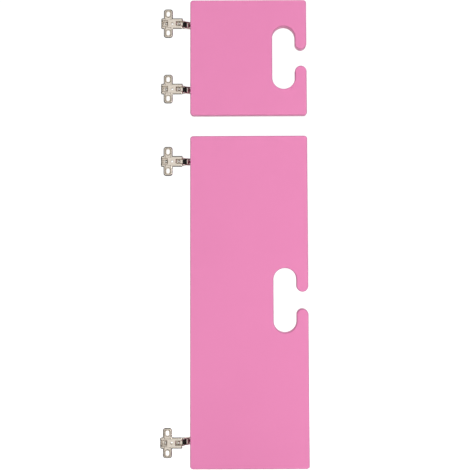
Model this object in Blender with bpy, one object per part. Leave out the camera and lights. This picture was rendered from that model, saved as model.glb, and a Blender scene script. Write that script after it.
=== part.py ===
"""Two pull-hole cupboard doors, a square one above a tall one, each carried by two
half-overlay concealed hinges on cross-shaped mounting plates.

Frame: +Z up, +X from the hinges towards the finger holes, door fronts face -Y.
The doors stand open at a right angle to the cabinet side that carries the plates; that
side's inner face is the plane y = 0, which every mounting plate stands on. The origin is
on that plane, on the screw-hole line of the plates, at the height of the lowest hinge.
"""
import math

import bmesh
import bpy

MM = 0.001

# ---- doors ----
DOOR_WIDTH = 195.0
SMALL_HEIGHT = 195.0
TALL_HEIGHT = 545.0
DOOR_GAP = 34.5
BOARD = 18.0
CORNER_R = 5.0
FRONT_ROUND = 2.5
BACK_CHAMFER = 0.5
# ---- finger hole ----
SLOT_WIDTH = 38.0
SLOT_HEIGHT = 106.0
WEB_WIDTH = 19.5
MOUTH = 28.0
# ---- hinge positions up the doors ----
TALL_HINGE_INSET = 42.0
SMALL_HINGE_BOTTOM = 45.0
SMALL_HINGE_TOP = 39.0
# ---- the four pivots of a hinge, door open at a right angle ----
EDGE_X = 37.0
BACK_Y = 15.8
PIVOT_A = (25.0, 11.0)
PIVOT_D = (41.0, 23.0)
PIN_B = (8.05, 5.7)
PIN_C = (14.2, 6.6)
# ---- mounting plate ----
HOLE_LINE = 0.0
HOLE_PITCH = 32.0
BAR_REAR = 11.7
BAR_FRONT = 24.3
BAR_HALF = 9.0
WING_HALF_WIDTH = 7.5
WING_END = 8.25
WING_CORNER = 4.0
WING_SLOT_R = 2.6
WING_SLOT_HALF = 1.4
PLATE_SHEET = 2.2
RAIL_CLEARANCE = 0.45
RECESS_HALF = 3.2
SIGHT_HOLE_X = HOLE_LINE + 6.7
SIGHT_HOLE_R = 2.0
# ---- arm ----
ARM_HALF = 5.85
ARM_SHEET = 1.25
ARM_REAR = HOLE_LINE - 12.5
ARM_TOP = 9.8
ARM_SKIRT = 3.0
FIXING_X = HOLE_LINE - 3.4
SIDE_X = HOLE_LINE + 18.1
# ---- links, rivets, pin ----
LINK_CLEARANCE = 0.4
FORK_SHEET = 1.2
FORK_CLEARANCE = 0.6
RIVET_R = 1.25
RIVET_HEAD_R = 2.3
PIN_R = 0.85
PIN_HEAD_R = 1.45
PIN_HEAD = 0.7
PIN_RELIEF = 0.05
PIVOT_CLEARANCE = 0.3
# ---- cup ----
CUP_RIM_EDGE = 3.3
CUP_OUTER = 17.2
CUP_WALL = 0.9
CUP_DEPTH = 11.6
CUP_FLOOR = 1.0
FLANGE = 1.1
FLANGE_LIP = 1.1
CHEEK_CLEARANCE = 0.45
CHEEK_SHEET = 0.9
BORE_CLEARANCE = 0.5
BORE_FLOOR_GAP = 0.6
CUP_SCREW_U = 30.0
CUP_SCREW_Z = 22.5
# ---- screws ----
SHANK_R = 2.0
SCREW_HEAD_R = 3.7
SCREW_HEAD = 2.1
SEAT_GAP = 0.3
SEG = 12

RAIL_HALF = ARM_HALF - ARM_SHEET - LINK_CLEARANCE
RAIL_TOP = ARM_TOP - ARM_SHEET - RAIL_CLEARANCE
FORK_HALF = ARM_HALF - ARM_SHEET - LINK_CLEARANCE
OUTER_HALF = FORK_HALF - FORK_SHEET - FORK_CLEARANCE
STUD_IN = OUTER_HALF + FORK_CLEARANCE - 0.05
CHEEK_IN = ARM_HALF + CHEEK_CLEARANCE
CHEEK_OUT = CHEEK_IN + CHEEK_SHEET
CUP_U = CUP_RIM_EDGE + CUP_OUTER
CUP_INNER = CUP_OUTER - CUP_WALL
FLANGE_R = CUP_OUTER + FLANGE_LIP
BORE_R = CUP_OUTER + BORE_CLEARANCE
BORE_DEPTH = CUP_DEPTH + BORE_FLOOR_GAP
CHEEK_U = CUP_U - math.sqrt(CUP_INNER**2 - CHEEK_IN**2) - 0.45
WING_HALF_SPAN = HOLE_PITCH / 2 + WING_END

PIVOT_B = (EDGE_X + PIN_B[0], BACK_Y - PIN_B[1])
PIVOT_C = (EDGE_X + PIN_C[0], BACK_Y - PIN_C[1])
PLATE_FRONT = HOLE_LINE + BAR_FRONT
TALL_BASE = -TALL_HINGE_INSET
SMALL_BASE = TALL_BASE + TALL_HEIGHT + DOOR_GAP


# ------------------------------------------------------------------ helpers
def material(name, colour, metallic, roughness):
    """One plain named material."""
    mat = bpy.data.materials.new(name)
    mat.use_nodes = True
    shader = mat.node_tree.nodes["Principled BSDF"]
    shader.inputs["Base Color"].default_value = (*colour, 1.0)
    shader.inputs["Metallic"].default_value = metallic
    shader.inputs["Roughness"].default_value = roughness
    return mat


def arc(cx, cy, r, start, end, steps):
    """Points on a circle from one angle to another, in degrees, both ends included."""
    angles = [math.radians(start + (end - start) * i / steps) for i in range(steps + 1)]
    return [(cx + r * math.cos(a), cy + r * math.sin(a)) for a in angles]


def finish(name, bm, origin, cutter=False, mat=None):
    """Turn a bmesh in millimetres into a named object whose origin is the point given."""
    bmesh.ops.remove_doubles(bm, verts=bm.verts, dist=0.0005)
    bmesh.ops.recalc_face_normals(bm, faces=bm.faces)
    for vert in bm.verts:
        vert.co = [(vert.co[i] - origin[i]) * MM for i in range(3)]
    mesh = bpy.data.meshes.new(name)
    bm.to_mesh(mesh)
    bm.free()
    obj = bpy.data.objects.new(name, mesh)
    obj.location = [value * MM for value in origin]
    bpy.context.scene.collection.objects.link(obj)
    if mat is not None:
        mesh.materials.append(mat)
    if cutter:
        obj.hide_render = True
        obj.display_type = "WIRE"
    return obj


def to_axis(p, q, along, axis):
    """Map a profile point and a distance along the axis to x, y, z."""
    return (p, q, along) if axis == "Z" else (p, along, q)


def layers(bm, rings, axis, heights):
    """Skin a stack of outlines that all have the same number of points."""
    loops = []
    for ring, height in zip(rings, heights):
        loops.append([bm.verts.new(to_axis(p, q, height, axis)) for p, q in ring])
    for low, high in zip(loops, loops[1:]):
        for i in range(len(low)):
            j = (i + 1) % len(low)
            bm.faces.new((low[i], low[j], high[j], high[i]))
    caps = [bm.faces.new(loops[0]), bm.faces.new(loops[-1])]
    bm.normal_update()
    bmesh.ops.triangulate(bm, faces=caps)


def prism(bm, profile, axis, start, end):
    """A closed outline drawn out along one axis."""
    layers(bm, [profile, profile], axis, [start, end])


def lathe(bm, profile, axis, centre, seg=SEG):
    """Turn (radius, distance) points about an axis; the first and last radius are zero."""
    rings = []
    for radius, along in profile[1:-1]:
        ring = arc(centre[0], centre[1], radius, 0.0, 360.0, seg)[:-1]
        rings.append([bm.verts.new(to_axis(p, q, along, axis)) for p, q in ring])
    for low, high in zip(rings, rings[1:]):
        for i in range(seg):
            j = (i + 1) % seg
            bm.faces.new((low[i], low[j], high[j], high[i]))
    for ring, (_, along) in ((rings[0], profile[0]), (rings[-1], profile[-1])):
        pole = bm.verts.new(to_axis(centre[0], centre[1], along, axis))
        for i in range(seg):
            bm.faces.new((ring[i], ring[(i + 1) % seg], pole))


def box(low, high):
    """A block between two corners, as a bmesh."""
    bm = bmesh.new()
    outline = [(low[0], low[1]), (high[0], low[1]), (high[0], high[1]), (low[0], high[1])]
    prism(bm, outline, "Z", low[2], high[2])
    return bm


def rod(centre, radius, axis, start, end, seg=SEG):
    """A plain cylinder, as a bmesh."""
    bm = bmesh.new()
    profile = [(0.0, start), (radius, start), (radius, end), (0.0, end)]
    lathe(bm, profile, axis, centre, seg)
    return bm


def drawn(profile, axis, start, end):
    """A prism, as a bmesh."""
    bm = bmesh.new()
    prism(bm, profile, axis, start, end)
    return bm


def combine(obj, tools, operation):
    """Cut or join shapes in turn with hidden tool objects."""
    for bm in tools:
        index = len(obj.modifiers)
        tool = finish(f"tool_{index}_{obj.name}", bm, (0, 0, 0), cutter=True)
        modifier = obj.modifiers.new(f"{operation.title()} {index}", "BOOLEAN")
        modifier.operation = operation
        modifier.solver = "EXACT"
        modifier.object = tool


def raised(profile, dz):
    """Lift an outline in the x-z plane."""
    return [(p, q + dz) for p, q in profile]


# ------------------------------------------------------------------ doors
def door_outline(height, inset):
    """Outline of a door in x-z, measured from its lower hinge corner, shrunk by an inset."""
    middle = height / 2
    tip_r = WEB_WIDTH / 2
    tip_x = DOOR_WIDTH - tip_r
    tip_z = MOUTH / 2 + tip_r
    slot_r = SLOT_WIDTH / 2
    slot_x = DOOR_WIDTH - WEB_WIDTH - slot_r
    slot_z = SLOT_HEIGHT / 2 - slot_r
    corner = CORNER_R - inset
    far = DOOR_WIDTH - CORNER_R
    top = height - CORNER_R
    points = arc(CORNER_R, CORNER_R, corner, 180, 270, 4)
    points += arc(far, CORNER_R, corner, 270, 360, 4)
    points += arc(tip_x, middle - tip_z, tip_r - inset, 0, 180, 10)
    points += arc(slot_x, middle - slot_z, slot_r + inset, 0, -180, 14)
    points += arc(slot_x, middle + slot_z, slot_r + inset, 180, 0, 14)
    points += arc(tip_x, middle + tip_z, tip_r - inset, 180, 360, 10)
    points += arc(far, top, corner, 0, 90, 4)
    points += arc(CORNER_R, top, corner, 90, 180, 4)
    return [(EDGE_X + p, q) for p, q in points]


def make_door(name, base, height, hinge_heights):
    """A door board with its finger hole, rounded front edge and hinge borings."""
    bm = bmesh.new()
    insets = [BACK_CHAMFER, 0.0, 0.0]
    depths = [0.0, BACK_CHAMFER, BOARD - FRONT_ROUND]
    for angle in (30, 60, 90):
        turn = math.radians(angle)
        insets.append(FRONT_ROUND * (1 - math.cos(turn)))
        depths.append(BOARD - FRONT_ROUND * (1 - math.sin(turn)))
    rings = [raised(door_outline(height, inset), base) for inset in insets]
    layers(bm, rings, "Y", [BACK_Y - depth for depth in depths])
    door = finish(name, bm, (*PIVOT_B, base + height / 2), mat=PAINT)
    borings = []
    for z in hinge_heights:
        centre = (EDGE_X + CUP_U, z)
        borings.append(rod(centre, BORE_R, "Y", BACK_Y - BORE_DEPTH, BACK_Y + 2, 24))
        for side in (-1, 1):
            hole = (EDGE_X + CUP_SCREW_U, z + side * CUP_SCREW_Z)
            borings.append(rod(hole, SHANK_R + 0.25, "Y", BACK_Y - 13.5, BACK_Y + 2, 12))
    combine(door, borings, "DIFFERENCE")


# ------------------------------------------------------------------ hinge parts
def plate_outline(z):
    """The cross: a bar along x and a wing plate across it."""
    rear = HOLE_LINE - BAR_REAR
    left = HOLE_LINE - WING_HALF_WIDTH
    right = HOLE_LINE + WING_HALF_WIDTH
    span = WING_HALF_SPAN - WING_CORNER
    soft = 1.5
    points = arc(rear + soft, -BAR_HALF + soft, soft, 180, 270, 2)
    points += [(left, -BAR_HALF)]
    points += arc(left + WING_CORNER, -span, WING_CORNER, 180, 270, 4)
    points += arc(right - WING_CORNER, -span, WING_CORNER, 270, 360, 4)
    points += [(right, -BAR_HALF)]
    points += arc(PLATE_FRONT - soft, -BAR_HALF + soft, soft, 270, 360, 2)
    points += arc(PLATE_FRONT - soft, BAR_HALF - soft, soft, 0, 90, 2)
    points += [(right, BAR_HALF)]
    points += arc(right - WING_CORNER, span, WING_CORNER, 0, 90, 4)
    points += arc(left + WING_CORNER, span, WING_CORNER, 90, 180, 4)
    points += [(left, BAR_HALF)]
    points += arc(rear + soft, BAR_HALF - soft, soft, 90, 180, 2)
    return raised(points, z)


def make_plate(name, z):
    """Cross-shaped plate with its rail, hollow underside, wing slots and sight hole."""
    plate = finish(name, drawn(plate_outline(z), "Y", 0, PLATE_SHEET), (HOLE_LINE, 0, z), mat=NICKEL)
    rear = HOLE_LINE - BAR_REAR
    rail = box((rear + 1.2, 1.2, z - RAIL_HALF), (PLATE_FRONT - 0.5, RAIL_TOP, z + RAIL_HALF))
    combine(plate, [rail], "UNION")
    hollow = SHANK_R + 2 * SEAT_GAP
    well_end = FIXING_X + SHANK_R + SEAT_GAP
    cuts = [
        box((rear + 1.6, -1, z - RECESS_HALF - 1), (well_end + 0.2, 1.5, z + RECESS_HALF + 1)),
        box((rear + 2.6, -1.2, z - hollow), (well_end, 5.6, z + hollow)),
        box((SIDE_X - 4.4, -1, z - RECESS_HALF), (PLATE_FRONT + 1, 6.0, z + RECESS_HALF)),
        rod((SIDE_X, z), SHANK_R + 0.5, "Y", 4.0, RAIL_TOP + 1),
        rod((FIXING_X, z), SHANK_R + 0.25, "Y", 4.0, RAIL_TOP + 1),
        rod((SIGHT_HOLE_X, z), SIGHT_HOLE_R, "Y", -1, RAIL_TOP + 1),
    ]
    for side in (-1, 1):
        middle = z + side * HOLE_PITCH / 2
        slot = arc(HOLE_LINE, middle + WING_SLOT_HALF, WING_SLOT_R, 0, 180, 6)
        slot += arc(HOLE_LINE, middle - WING_SLOT_HALF, WING_SLOT_R, 180, 360, 6)
        cuts.append(drawn(slot, "Y", -1, PLATE_SHEET + 1))
    combine(plate, cuts, "DIFFERENCE")


def make_arm(name, z):
    """Channel arm: rear half over the plate's rail, front half reaching up to both rivets."""
    ax, ay = PIVOT_A
    dx, dy = PIVOT_D
    side = [(ARM_REAR, ARM_SKIRT + 1.2), (ARM_REAR + 1.2, ARM_SKIRT), (ax - 6.0, ARM_SKIRT)]
    side += arc(ax, ay, 3.2, -130, -53.1, 4)
    side += arc(dx, dy, 2.8, -53.1, 126.9, 8)
    side += [(ax - 1.9, ay + 4.6), (ax - 3.5, ay + 3.0), (ax - 4.0, ARM_TOP)]
    side += [(ARM_REAR + 1.5, ARM_TOP), (ARM_REAR, ARM_TOP - 1.5)]
    arm = finish(name, drawn(side, "Z", z - ARM_HALF, z + ARM_HALF), (HOLE_LINE, 0, z), mat=NICKEL)
    inside = ARM_HALF - ARM_SHEET
    channel = [
        (ARM_REAR - 2, ARM_SKIRT - 4),
        (ax + 5.0, ARM_SKIRT - 4),
        (dx + 9.0, dy - 11.0),
        (dx + 9.0, dy + 7.0),
        (dx - 5.8, dy + 7.0),
        (dx - 5.8, dy - 1.6),
        (ax - 1.3, ay + 3.3),
        (ax - 2.6, ay + 1.6),
        (ax - 3.0, ARM_TOP - ARM_SHEET),
        (ARM_REAR - 2, ARM_TOP - ARM_SHEET),
    ]
    slot = arc(FIXING_X + 1.5, z, SHANK_R + 0.4, -90, 90, 6)
    slot += arc(FIXING_X - 1.5, z, SHANK_R + 0.4, 90, 270, 6)
    cuts = [
        drawn(channel, "Z", z - inside, z + inside),
        drawn(slot, "Y", 7.0, 12.0),
        rod((SIGHT_HOLE_X, z), SIGHT_HOLE_R, "Y", 7.0, 12.0),
        rod((SIDE_X, z), SHANK_R + 0.25, "Y", 6.5, 16.0),
        rod(PIVOT_A, RIVET_R + 0.25, "Z", z - 8, z + 8),
        rod(PIVOT_D, RIVET_R + 0.25, "Z", z - 8, z + 8),
    ]
    combine(arm, cuts, "DIFFERENCE")


def make_outer_link(name, z):
    """Goose-necked link from a broad shoulder on rivet A, over the cup's rim, to cup pin B."""
    ax, ay = PIVOT_A
    bx, by = PIVOT_B
    side = arc(ax, ay, 2.2, 100, 300, 6)
    side += [(ax + 5.6, ay + 1.6), (ax + 9.6, ay + 5.4), (ax + 11.4, ay + 6.8), (bx - 2.7, by + 7.9)]
    side += [(bx - 1.9, by + 6.9), (bx - 1.9, by + 2.0)]
    side += arc(bx, by, 2.0, 165, 370, 6)
    side += [(bx + 1.7, by + 4.2), (bx + 0.6, by + 7.6), (bx - 1.1, by + 9.5), (bx - 2.9, by + 10.4)]
    side += [(ax + 10.6, ay + 9.4), (ax + 5.6, ay + 5.8)]
    link = finish(name, drawn(side, "Z", z - OUTER_HALF, z + OUTER_HALF), (ax, ay, z), mat=BLACKENED)
    shoulder = arc(ax, ay, 2.19, 100, 300, 6)
    shoulder += [(ax + 5.6, ay + 1.7), (ax + 8.3, ay + 1.9), (ax + 8.9, ay + 2.5)]
    shoulder += [(ax + 8.9, ay + 7.6), (ax + 5.6, ay + 5.6)]
    combine(link, [drawn(shoulder, "Z", z - FORK_HALF, z + FORK_HALF)], "UNION")
    cuts = [
        rod(PIVOT_A, RIVET_R + 0.25, "Z", z - 8, z + 8),
        rod(PIVOT_B, PIN_R + PIVOT_CLEARANCE, "Z", z - 8, z + 8),
    ]
    combine(link, cuts, "DIFFERENCE")


def fork_point(s, t):
    """A point in x-y given along and across the line from rivet D to cup pin C."""
    length = math.hypot(PIVOT_C[0] - PIVOT_D[0], PIVOT_C[1] - PIVOT_D[1])
    along = ((PIVOT_C[0] - PIVOT_D[0]) / length, (PIVOT_C[1] - PIVOT_D[1]) / length)
    return (
        PIVOT_D[0] + s * along[0] - t * along[1],
        PIVOT_D[1] + s * along[1] + t * along[0],
    )


def make_inner_link(name, z):
    """Fork from rivet D to cup studs C: two cheeks, a web between them, open hooks at C."""
    length = math.hypot(PIVOT_C[0] - PIVOT_D[0], PIVOT_C[1] - PIVOT_D[1])
    notch = PIN_R + PIVOT_CLEARANCE
    shape = arc(0, 0, 2.4, 110, 270, 6)
    shape += [(3.2, -1.9), (8.0, -1.9), (length - 2.6, -2.6), (length + 0.3, -2.6), (length + 1.6, -2.1), (length + 2.3, -1.2)]
    shape += [(length + 2.3, -0.2), (length + notch + 0.1, -0.2), (length + notch - 0.2, -1.2)]
    shape += [(length + 0.3, -notch - 0.5), (length - 0.9, -notch - 0.5)]
    shape += [(length - notch - 0.8, -1.2), (length - notch - 1.0, -0.2), (length - notch - 1.0, 1.4)]
    shape += [(length - notch - 2.4, 2.4), (9.2, 3.2), (0.8, 3.2)]
    world = [fork_point(s, t) for s, t in shape]
    link = finish(name, drawn(world, "Z", z - FORK_HALF, z + FORK_HALF), (*PIVOT_D, z), mat=NICKEL)
    inside = FORK_HALF - FORK_SHEET
    gap = [fork_point(s, t) for s, t in ((-6, -6), (26, -6), (26, 8), (9.0, 8), (9.0, 2.1), (-6, 2.1))]
    cuts = [
        drawn(gap, "Z", z - inside, z + inside),
        rod(PIVOT_D, RIVET_R + 0.25, "Z", z - 8, z + 8),
    ]
    combine(link, cuts, "DIFFERENCE")


def make_rivet(name, centre, z):
    """A rivet through both cheeks of the arm with a domed head each side."""
    seat = ARM_HALF + SEAT_GAP
    half = [(RIVET_R, seat), (RIVET_HEAD_R, seat), (RIVET_HEAD_R - 0.6, seat + 0.85)]
    profile = [(0.0, z - seat - 0.85)]
    profile += [(r, z - a) for r, a in reversed(half)]
    profile += [(r, z + a) for r, a in half]
    profile += [(0.0, z + seat + 0.85)]
    bm = bmesh.new()
    lathe(bm, profile, "Z", centre, 12)
    finish(name, bm, (*centre, z), mat=STEEL)


def make_screw(name, x, z, seat, length, head_r, point=None):
    """A round-headed screw along y with a cross recess; the head sits above the seat."""
    tip = seat - length
    nose = point if point else [(SHANK_R - 0.8, tip), (SHANK_R, tip + 0.8)]
    profile = [(0.0, tip)] + nose
    profile += [(SHANK_R, seat), (head_r, seat), (head_r, seat + SCREW_HEAD * 0.45)]
    profile += [(head_r * 0.72, seat + SCREW_HEAD), (0.0, seat + SCREW_HEAD)]
    bm = bmesh.new()
    lathe(bm, profile, "Y", (x, z))
    screw = finish(name, bm, (x, seat, z), mat=STEEL)
    top = seat + SCREW_HEAD + 1
    floor = seat + SCREW_HEAD - 1.4
    cross = [
        box((x - 2.0, floor, z - 0.42), (x + 2.0, top, z + 0.42)),
        box((x - 0.42, floor, z - 2.0), (x + 0.42, top, z + 2.0)),
    ]
    combine(screw, cross, "DIFFERENCE")


def flange_outline(z):
    """Rim of the cup with a straight ear plate across it for the two cup screws."""
    cx = EDGE_X + CUP_U
    low = CUP_SCREW_U + EDGE_X - 5.5
    high = CUP_SCREW_U + EDGE_X + 5.5
    reach = CUP_SCREW_Z + 5.0
    meet = math.degrees(math.acos((low - cx) / FLANGE_R))
    close = math.degrees(math.acos((high - cx) / FLANGE_R))
    points = arc(cx, 0, FLANGE_R, meet, 360 - meet, 14)
    points += arc(low + 3, -reach + 3, 3, 180, 270, 3)
    points += arc(high - 3, -reach + 3, 3, 270, 360, 3)
    points += arc(cx, 0, FLANGE_R, -close, close, 6)
    points += arc(high - 3, reach - 3, 3, 0, 90, 3)
    points += arc(low + 3, reach - 3, 3, 90, 180, 3)
    return raised(points, z)


def make_cup(name, z):
    """Drawn steel cup with its ear flange, and cheeks that hold the pin and the two studs."""
    cx = EDGE_X + CUP_U
    bottom = BACK_Y - CUP_DEPTH
    top = BACK_Y + SEAT_GAP + FLANGE
    body = drawn(flange_outline(z), "Y", BACK_Y + SEAT_GAP, top)
    cup = finish(name, body, (*PIVOT_B, z), mat=NICKEL)
    shell = bmesh.new()
    profile = [(0, bottom), (CUP_OUTER - 1, bottom), (CUP_OUTER, bottom + 1)]
    profile += [(CUP_OUTER, top - 0.4), (0, top - 0.4)]
    lathe(shell, profile, "Y", (cx, z), 24)
    combine(cup, [shell], "UNION")
    cavity = rod((cx, z), CUP_INNER, "Y", bottom + CUP_FLOOR, top + 1, 24)
    holes = [cavity]
    for side in (-1, 1):
        centre = (EDGE_X + CUP_SCREW_U, z + side * CUP_SCREW_Z)
        holes.append(rod(centre, SHANK_R + 0.35, "Y", BACK_Y - 2, top + 2, 12))
    combine(cup, holes, "DIFFERENCE")
    extras = []
    for side in (-1, 1):
        low, high = sorted((z + side * CHEEK_IN, z + side * CHEEK_OUT))
        start = (EDGE_X + CHEEK_U, bottom + 0.5, low)
        extras.append(box(start, (EDGE_X + 18.0, BACK_Y - 2.6, high)))
        low, high = sorted((z + side * STUD_IN, z + side * (CHEEK_OUT - 0.4)))
        extras.append(rod(PIVOT_C, PIN_R, "Z", low, high, 10))
    combine(cup, extras, "UNION")
    bores = [rod(PIVOT_B, PIN_R + PIVOT_CLEARANCE, "Z", z - CHEEK_OUT - 1, z + CHEEK_OUT + 1, 10)]
    for side in (-1, 1):
        near = z + side * (CHEEK_OUT + PIN_RELIEF)
        far = z + side * (CHEEK_OUT + PIVOT_CLEARANCE + PIN_HEAD + PIN_RELIEF)
        low, high = sorted((near, far))
        bores.append(rod(PIVOT_B, PIN_HEAD_R + PIN_RELIEF, "Z", low, high, 10))
    combine(cup, bores, "DIFFERENCE")


def make_pin(name, z):
    """Cup pin B, a headed pin through both cheeks of the cup and the outer link."""
    bm = bmesh.new()
    head = CHEEK_OUT + PIVOT_CLEARANCE
    profile = [(0.0, z - head - 0.4), (PIN_R, z - head - 0.4), (PIN_R, z + head)]
    profile += [(PIN_HEAD_R, z + head), (PIN_HEAD_R, z + head + PIN_HEAD), (0.0, z + head + PIN_HEAD)]
    lathe(bm, profile, "Z", PIVOT_B, 10)
    finish(name, bm, (*PIVOT_B, z), mat=STEEL)


def make_hinge(stem, z):
    """All twelve pieces of one hinge at one height."""
    make_plate(f"{stem}_mounting_plate", z)
    make_arm(f"{stem}_arm", z)
    make_outer_link(f"{stem}_outer_link", z)
    make_inner_link(f"{stem}_inner_link", z)
    make_rivet(f"{stem}_outer_rivet", PIVOT_A, z)
    make_rivet(f"{stem}_inner_rivet", PIVOT_D, z)
    make_screw(f"{stem}_fixing_screw", FIXING_X, z, ARM_TOP + SEAT_GAP, 7.6, SCREW_HEAD_R)
    ball = [(1.3, 2.6), (SHANK_R, 3.3), (SHANK_R, 4.2), (1.3, 4.9), (SHANK_R, 5.6)]
    make_screw(f"{stem}_side_screw", SIDE_X, z, ARM_TOP + SEAT_GAP, 7.7, 2.5, ball)
    make_cup(f"{stem}_cup", z)
    make_pin(f"{stem}_cup_pin", z)
    seat = BACK_Y + 2 * SEAT_GAP + FLANGE
    for side, word in ((-1, "lower"), (1, "upper")):
        spot = z + side * CUP_SCREW_Z
        make_screw(f"{stem}_cup_screw_{word}", EDGE_X + CUP_SCREW_U, spot, seat, 14.0, SCREW_HEAD_R)


# ------------------------------------------------------------------ build
for item in list(bpy.data.objects):
    bpy.data.objects.remove(item, do_unlink=True)

PAINT = material("matt pink foil", (0.80, 0.25, 0.48), 0.0, 0.5)
NICKEL = material("nickel plated steel", (0.70, 0.66, 0.60), 1.0, 0.35)
STEEL = material("bright steel", (0.72, 0.70, 0.67), 1.0, 0.28)
BLACKENED = material("blackened steel", (0.05, 0.05, 0.055), 0.7, 0.4)

TALL_HINGES = (TALL_BASE + TALL_HINGE_INSET, TALL_BASE + TALL_HEIGHT - TALL_HINGE_INSET)
SMALL_HINGES = (SMALL_BASE + SMALL_HINGE_BOTTOM, SMALL_BASE + SMALL_HEIGHT - SMALL_HINGE_TOP)

make_door("tall_door_panel", TALL_BASE, TALL_HEIGHT, TALL_HINGES)
make_door("small_door_panel", SMALL_BASE, SMALL_HEIGHT, SMALL_HINGES)
for door_name, heights in (("tall_door", TALL_HINGES), ("small_door", SMALL_HINGES)):
    for end, height in zip(("bottom", "top"), heights):
        make_hinge(f"{door_name}_{end}_hinge", height)
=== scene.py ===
"""Pink pull-hole cupboard doors on cross-plate concealed hinges: the visual model.

Every piece lies in the frame of the mechanical model: metres, +Z up, door fronts facing -Y.
"""
import math

import bmesh
import bpy
import numpy as np
from mathutils import Matrix, Vector


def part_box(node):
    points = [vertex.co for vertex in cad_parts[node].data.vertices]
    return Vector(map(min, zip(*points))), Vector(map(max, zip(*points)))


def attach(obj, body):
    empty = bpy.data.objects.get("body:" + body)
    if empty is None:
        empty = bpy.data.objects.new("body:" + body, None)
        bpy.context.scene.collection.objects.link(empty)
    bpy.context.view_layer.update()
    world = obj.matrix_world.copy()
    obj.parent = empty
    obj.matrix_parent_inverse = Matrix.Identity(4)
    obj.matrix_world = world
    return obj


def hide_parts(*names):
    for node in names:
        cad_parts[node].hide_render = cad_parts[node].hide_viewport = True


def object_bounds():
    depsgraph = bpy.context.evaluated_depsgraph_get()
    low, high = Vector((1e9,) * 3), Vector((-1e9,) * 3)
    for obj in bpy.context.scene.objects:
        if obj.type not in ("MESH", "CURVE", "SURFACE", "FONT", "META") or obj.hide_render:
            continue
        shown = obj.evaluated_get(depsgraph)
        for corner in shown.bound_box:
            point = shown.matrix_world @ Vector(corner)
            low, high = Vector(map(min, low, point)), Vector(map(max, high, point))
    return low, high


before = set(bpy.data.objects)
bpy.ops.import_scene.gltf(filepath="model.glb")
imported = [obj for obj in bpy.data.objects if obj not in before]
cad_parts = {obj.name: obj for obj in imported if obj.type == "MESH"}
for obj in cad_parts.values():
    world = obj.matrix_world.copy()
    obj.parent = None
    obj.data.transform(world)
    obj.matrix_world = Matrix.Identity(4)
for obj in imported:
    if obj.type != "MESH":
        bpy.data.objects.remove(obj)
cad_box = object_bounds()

# ======================================================================================
# Door boards. Each is an 18 mm board routed with a C-shaped finger hole: matt pink foil on
# both faces, and round every edge, rounded over at the front, a greyer pink that is painted
# shade for the shaded rim. The hinge cups sit in blind borings in the back.
# ======================================================================================
MM = 0.001
WEB = 19.5
HOLE_R = 19.0
HOLE_REACH = 34.0
MOUTH_HALF = 14.0
CORNER_R = 5.0
FRONT_ROUND = 2.4
BACK_EASE = 0.5
RIM_SHADE_REACH = 1.2
CUP_SETBACK = 20.5
BORE_R = 17.7
BORE_DEPTH = 12.2
PILOT_R = 2.25
PILOT_DEPTH = 13.5
PINK = (0.702, 0.209, 0.412)
PINK_DEEP = (0.674, 0.192, 0.390)
# The next two colours are painted shade: a greyer pink for the edges and the back of the front
# round-over, standing in for the shade on the rounded rim.
RIM_SHADE_PINK = (0.50, 0.150, 0.290)
RIM_SHADE_PINK_DEEP = (0.46, 0.132, 0.262)
FIBRE = (0.36, 0.235, 0.14)
FIBRE_DARK = (0.22, 0.14, 0.08)

HINGES = {
    "tall_door": ("tall_door_bottom_hinge", "tall_door_top_hinge"),
    "small_door": ("small_door_bottom_hinge", "small_door_top_hinge"),
}


def middle(node):
    """Centre of a node's box, in millimetres."""
    low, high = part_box(node)
    return (np.array(low) + np.array(high)) / 2 / MM


def turn(cx, cy, r, start, end, steps):
    """Points of a circular arc from one angle to another: centre plus radius times (cos, sin)."""
    a = np.radians(np.linspace(start, end, steps + 1))
    return np.stack([cx + r * np.cos(a), cy + r * np.sin(a)], axis=1)


def skin(name, rings, caps=(True, True)):
    """Closed mesh from a stack of rings, an array (layer, point, xyz) in millimetres.
    Neighbouring rings are joined by quads, and the first and last ring are closed flat."""
    count, size = rings.shape[:2]
    verts = rings.reshape(-1, 3) * MM
    i, j = np.meshgrid(np.arange(count - 1), np.arange(size), indexing="ij")
    k = (j + 1) % size
    quads = np.stack([i * size + j, i * size + k, (i + 1) * size + k, (i + 1) * size + j], axis=-1)
    faces = quads.reshape(-1, 4).tolist()
    if caps[0]:
        faces.append(list(range(size))[::-1])
    if caps[1]:
        faces.append(list(range((count - 1) * size, count * size)))
    mesh = bpy.data.meshes.new(name)
    mesh.from_pydata(verts.tolist(), [], faces)
    mesh.validate()
    obj = bpy.data.objects.new(name, mesh)
    bpy.context.scene.collection.objects.link(obj)
    outwards(mesh)
    return obj


def points_of(mesh):
    """A mesh's points as an array (point, xyz), in metres."""
    co = np.empty(len(mesh.vertices) * 3, np.float32)
    mesh.vertices.foreach_get("co", co)
    return co.reshape(-1, 3)


def at_depth(outline, y):
    """An outline in x-z placed at one depth: each point becomes (x, y, z)."""
    return np.stack([outline[:, 0], np.full(len(outline), y), outline[:, 1]], axis=1)


def outwards(mesh):
    """Turn a closed mesh so that its enclosed volume, the sum of v0.(v1 x v2) / 6, is positive."""
    mesh.calc_loop_triangles()
    tris = np.empty(len(mesh.loop_triangles) * 3, np.int32)
    mesh.loop_triangles.foreach_get("vertices", tris)
    p = points_of(mesh)[tris.reshape(-1, 3)].astype(float)
    if np.einsum("ij,ij->i", p[:, 0], np.cross(p[:, 1], p[:, 2])).sum() < 0:
        mesh.flip_normals()


def smooth(obj, angle=35.0):
    """Smooth shading with the edges sharper than the angle kept crisp."""
    mesh = obj.data
    mesh.polygons.foreach_set("use_smooth", np.ones(len(mesh.polygons), bool))
    mesh.set_sharp_from_angle(angle=math.radians(angle))
    return obj


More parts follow.
